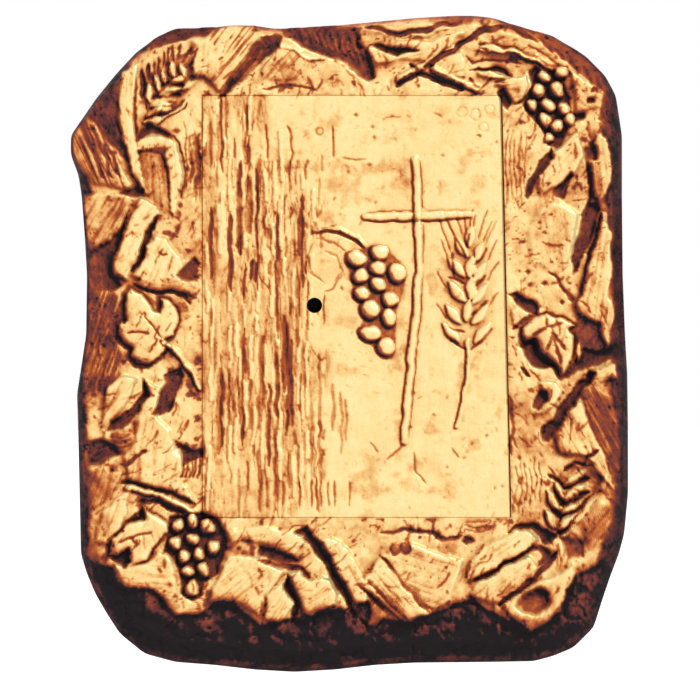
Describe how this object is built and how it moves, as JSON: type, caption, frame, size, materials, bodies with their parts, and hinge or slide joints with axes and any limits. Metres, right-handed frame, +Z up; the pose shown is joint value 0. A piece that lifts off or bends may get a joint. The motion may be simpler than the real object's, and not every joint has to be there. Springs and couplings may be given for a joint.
{
  "type": "wall tabernacle",
  "caption": "Cast-bronze wall tabernacle: rough relief surround, flush relief door on pivots with a keyhole, gilt-lined steel wall box behind.",
  "frame": {"origin": "centre of the doorway on the wall plane, which is the plane of the surround's back edge", "axes": "+Y into the wall, +Z up, +X to the viewer's right; the relief faces -Y"},
  "size_m": [0.3635, 0.21, 0.428],
  "materials": {
    "surround_bronze": "cast, dark patina in the hollows, polished on the high faces",
    "door_bronze": "cast, polished, light patina in the grooves",
    "gilt_brass": "bright gilt",
    "bush_bronze": "turned",
    "lock_brass": "satin",
    "zinc_steel": "zinc plated",
    "lock_steel": "nickel plated",
    "black_steel": "blackened spring steel",
    "box_paint": "dark grey primer",
    "subframe_paint": "black enamel",
    "felt": "dark red wool felt"
  },
  "bodies": {
    "tabernacle": {"surround_casting": "surround_bronze", "subframe_ring": "subframe_paint", "box_shell": "box_paint", "inner_liner": "gilt_brass", "upper_pivot_bush": "bush_bronze", "lower_pivot_bush": "bush_bronze", "thrust_washer": "bush_bronze", "strike_plate": "lock_steel", "strike_screws": "lock_steel", "surround_studs": "zinc_steel", "stud_washers": "zinc_steel", "stud_nuts": "zinc_steel", "stop_pads": "felt"},
    "door": {"door_casting": "door_bronze", "door_back_plate": "gilt_brass", "back_plate_screws": "gilt_brass", "upper_pivot_pin": "zinc_steel", "lower_pivot_pin": "zinc_steel", "pivot_grub_screws": "black_steel", "lock_plate": "lock_brass", "lock_plate_screws": "lock_brass", "lock_case": "lock_steel", "lock_case_screws": "lock_steel", "lock_barrel": "lock_brass", "bolt_guide_pins": "zinc_steel"},
    "lock_bolt": {"lock_bolt": "lock_steel"},
    "lock_plug": {"lock_plug": "lock_brass", "plug_pinion": "bush_bronze", "plug_clip": "black_steel", "tumbler_pins": "zinc_steel"}
  },
  "joints": [
    {"name": "door_hinge", "type": "hinge", "parent": "tabernacle", "child": "door", "pos_m": [0.0865, -0.024, 0], "axis": [0, 0, 1], "range_deg": [0, 95]},
    {"name": "plug_turn", "type": "hinge", "parent": "door", "child": "lock_plug", "pos_m": [-0.026, -0.002, 0.001], "axis": [0, 1, 0], "range_deg": [0, 90]},
    {"name": "bolt_slide", "type": "slide", "parent": "door", "child": "lock_bolt", "axis": [-1, 0, 0], "range_m": [0, 0.01099]}
  ],
  "couplings": [
    {"joint": "plug_turn", "follows": "bolt_slide", "rad_per_m": 142.86}
  ]
}
